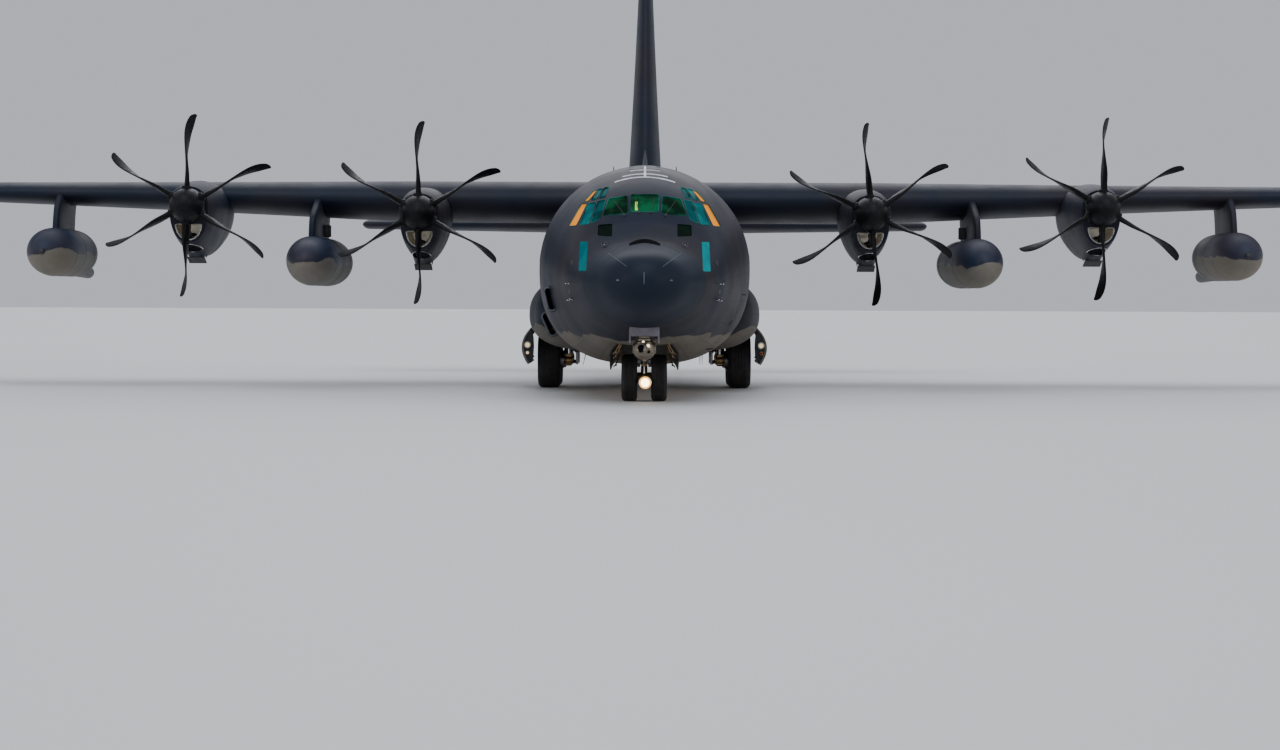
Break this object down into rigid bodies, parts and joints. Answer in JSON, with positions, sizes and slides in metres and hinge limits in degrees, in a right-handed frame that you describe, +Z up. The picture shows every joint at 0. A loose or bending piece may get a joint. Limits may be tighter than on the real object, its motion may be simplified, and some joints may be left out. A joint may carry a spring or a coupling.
{
  "type": "half-scale model of a military transport plane",
  "caption": "High-wing turboprop military transport parked on its gear, with underwing tanks and refuelling pods, rear ramp, and moving surfaces and wheels",
  "frame": {"origin": "on the ground under the middle of the overall length, on the centre line", "axes": "+X to the aircraft's left, +Y towards the tail, +Z up"},
  "size_m": [20.205, 14.895, 5.92],
  "materials": {
    "upper_paint": "satin dark blue-grey paint",
    "wing_paint": "satin dark blue-grey paint over a light hollow structure",
    "lower_paint": "satin warm grey paint over a light hollow shell",
    "radome_paint": "satin rain-erosion coat on a composite radome",
    "propeller_black": "black composite, worn along the leading edges",
    "tyre_rubber": "worn black rubber",
    "window_glass": "green-tinted coated glass",
    "gear_steel": "white-grey painted steel with bright sliding tubes",
    "engine_metal": "dull metal",
    "cabin_lining": "dark grey-green cabin lining",
    "turret_metal": "bright anodised ball with dark lenses"
  },
  "bodies": {
    "airframe": {"nose_radome": "radome_paint", "flight_deck_shell": "upper_paint", "flight_deck_floor": "cabin_lining", "cockpit_glass": "window_glass", "cargo_hold_front_shell": "upper_paint", "cargo_hold_rear_shell": "upper_paint", "troop_door_left": "upper_paint", "troop_door_right": "upper_paint", "rear_fuselage_shell": "upper_paint", "fin": "wing_paint", "tailplane": "wing_paint", "wing_center": "wing_paint", "wing_left": "wing_paint", "wing_right": "wing_paint", "nacelle_1": "upper_paint", "nacelle_2": "upper_paint", "nacelle_3": "upper_paint", "nacelle_4": "upper_paint", "engine_1": "engine_metal", "engine_2": "engine_metal", "engine_3": "engine_metal", "engine_4": "engine_metal", "fuel_tank_left": "lower_paint", "fuel_tank_right": "lower_paint", "fuel_tank_pylon_left": "upper_paint", "fuel_tank_pylon_right": "upper_paint", "refuelling_pod_left": "lower_paint", "refuelling_pod_right": "lower_paint", "refuelling_pod_pylon_left": "upper_paint", "refuelling_pod_pylon_right": "upper_paint", "wheel_fairing_left": "upper_paint", "wheel_fairing_right": "upper_paint", "main_gear_leg_left": "gear_steel", "main_gear_leg_right": "gear_steel", "main_gear_door_left": "upper_paint", "main_gear_door_right": "upper_paint", "nose_gear_leg": "gear_steel"},
    "propeller_1": {"propeller_1": "propeller_black"},
    "propeller_2": {"propeller_2": "propeller_black"},
    "propeller_3": {"propeller_3": "propeller_black"},
    "propeller_4": {"propeller_4": "propeller_black"},
    "crew_door": {"crew_door": "upper_paint"},
    "cargo_ramp": {"cargo_ramp": "upper_paint"},
    "cargo_door": {"cargo_door": "upper_paint"},
    "rudder": {"rudder": "wing_paint"},
    "elevator_left": {"elevator_left": "wing_paint"},
    "elevator_right": {"elevator_right": "wing_paint"},
    "aileron_left": {"aileron_left": "wing_paint"},
    "aileron_right": {"aileron_right": "wing_paint"},
    "flap_inner_left": {"flap_inner_left": "wing_paint"},
    "flap_inner_right": {"flap_inner_right": "wing_paint"},
    "flap_outer_left": {"flap_outer_left": "wing_paint"},
    "flap_outer_right": {"flap_outer_right": "wing_paint"},
    "main_wheel_front_left": {"main_wheel_front_left": "tyre_rubber"},
    "main_wheel_front_right": {"main_wheel_front_right": "tyre_rubber"},
    "main_wheel_rear_left": {"main_wheel_rear_left": "tyre_rubber"},
    "main_wheel_rear_right": {"main_wheel_rear_right": "tyre_rubber"},
    "nose_gear_fork": {"nose_gear_fork": "gear_steel"},
    "nose_wheels": {"nose_wheels": "tyre_rubber"},
    "sensor_turret": {"sensor_turret": "turret_metal"}
  },
  "joints": [
    {"name": "propeller_spin_1", "type": "hinge", "parent": "airframe", "child": "propeller_1", "pos_m": [5.145, -3.1475, 2.095], "axis": [0, 1, 0], "continuous": true},
    {"name": "propeller_spin_2", "type": "hinge", "parent": "airframe", "child": "propeller_2", "pos_m": [2.5425, -3.1475, 2.025], "axis": [0, 1, 0], "continuous": true},
    {"name": "propeller_spin_3", "type": "hinge", "parent": "airframe", "child": "propeller_3", "pos_m": [-2.5425, -3.1475, 2.025], "axis": [0, 1, 0], "continuous": true},
    {"name": "propeller_spin_4", "type": "hinge", "parent": "airframe", "child": "propeller_4", "pos_m": [-5.145, -3.1475, 2.095], "axis": [0, 1, 0], "continuous": true},
    {"name": "main_wheel_roll_front_left", "type": "hinge", "parent": "airframe", "child": "main_wheel_front_left", "pos_m": [1.13, -1.0725, 0.33], "axis": [1, 0, 0], "continuous": true},
    {"name": "main_wheel_roll_rear_left", "type": "hinge", "parent": "airframe", "child": "main_wheel_rear_left", "pos_m": [1.13, -0.3075, 0.33], "axis": [1, 0, 0], "continuous": true},
    {"name": "main_wheel_roll_front_right", "type": "hinge", "parent": "airframe", "child": "main_wheel_front_right", "pos_m": [-1.13, -1.0725, 0.33], "axis": [1, 0, 0], "continuous": true},
    {"name": "main_wheel_roll_rear_right", "type": "hinge", "parent": "airframe", "child": "main_wheel_rear_right", "pos_m": [-1.13, -0.3075, 0.33], "axis": [1, 0, 0], "continuous": true},
    {"name": "nose_steering", "type": "hinge", "parent": "airframe", "child": "nose_gear_fork", "pos_m": [0, -5.4975, 0.5], "axis": [0, 0, 1], "range_deg": [-60, 60]},
    {"name": "nose_wheel_roll", "type": "hinge", "parent": "nose_gear_fork", "child": "nose_wheels", "pos_m": [0, -5.4975, 0.245], "axis": [1, 0, 0], "continuous": true},
    {"name": "rudder_hinge", "type": "hinge", "parent": "airframe", "child": "rudder", "pos_m": [0, 5.7905, 2.68], "axis": [0, 0.1172, 0.9931], "range_deg": [-35, 35]},
    {"name": "elevator_hinge_left", "type": "hinge", "parent": "airframe", "child": "elevator_left", "pos_m": [0.425, 6.1525, 2.1], "axis": [1, 0, 0], "range_deg": [-15, 40]},
    {"name": "elevator_hinge_right", "type": "hinge", "parent": "airframe", "child": "elevator_right", "pos_m": [-0.425, 6.1525, 2.1], "axis": [1, 0, 0], "range_deg": [-15, 40]},
    {"name": "aileron_hinge_left", "type": "hinge", "parent": "airframe", "child": "aileron_left", "pos_m": [6.625, -0.2913, 2.2568], "axis": [0.9962, -0.0842, 0.0229], "range_deg": [-20, 20]},
    {"name": "aileron_hinge_right", "type": "hinge", "parent": "airframe", "child": "aileron_right", "pos_m": [-6.625, -0.2913, 2.2568], "axis": [0.9962, 0.0842, -0.0229], "range_deg": [-20, 20]},
    {"name": "flap_inner_hinge_left", "type": "hinge", "parent": "airframe", "child": "flap_inner_left", "pos_m": [1.18, -0.0422, 2.0702], "axis": [1, 0, 0], "range_deg": [-36, 0]},
    {"name": "flap_outer_hinge_left", "type": "hinge", "parent": "airframe", "child": "flap_outer_left", "pos_m": [2.875, -0.0482, 2.0733], "axis": [0.9962, -0.079, 0.0369], "range_deg": [-36, 0]},
    {"name": "flap_inner_hinge_right", "type": "hinge", "parent": "airframe", "child": "flap_inner_right", "pos_m": [-1.18, -0.0422, 2.0702], "axis": [1, 0, 0], "range_deg": [-36, 0]},
    {"name": "flap_outer_hinge_right", "type": "hinge", "parent": "airframe", "child": "flap_outer_right", "pos_m": [-2.875, -0.0482, 2.0733], "axis": [0.9962, 0.079, -0.0369], "range_deg": [-36, 0]},
    {"name": "cargo_ramp_hinge", "type": "hinge", "parent": "airframe", "child": "cargo_ramp", "pos_m": [0, 1.9425, 0.3825], "axis": [-1, 0, 0], "range_deg": [0, 34]},
    {"name": "cargo_door_hinge", "type": "hinge", "parent": "airframe", "child": "cargo_door", "pos_m": [0, 5.0675, 1.81], "axis": [-1, 0, 0], "range_deg": [0, 20]},
    {"name": "crew_door_hinge", "type": "hinge", "parent": "airframe", "child": "crew_door", "pos_m": [0.712, -4.6975, 0.55], "axis": [0.1954, 0.9807, 0], "range_deg": [0, 100]},
    {"name": "sensor_turret_pan", "type": "hinge", "parent": "airframe", "child": "sensor_turret", "pos_m": [0, -6.5075, 0.565], "axis": [0, 0, 1], "continuous": true}
  ],
  "couplings": [
    {"joint": "elevator_hinge_right", "follows": "elevator_hinge_left", "ratio": 1},
    {"joint": "aileron_hinge_right", "follows": "aileron_hinge_left", "ratio": -1},
    {"joint": "flap_outer_hinge_left", "follows": "flap_inner_hinge_left", "ratio": 1},
    {"joint": "flap_inner_hinge_right", "follows": "flap_inner_hinge_left", "ratio": 1},
    {"joint": "flap_outer_hinge_right", "follows": "flap_inner_hinge_left", "ratio": 1}
  ]
}
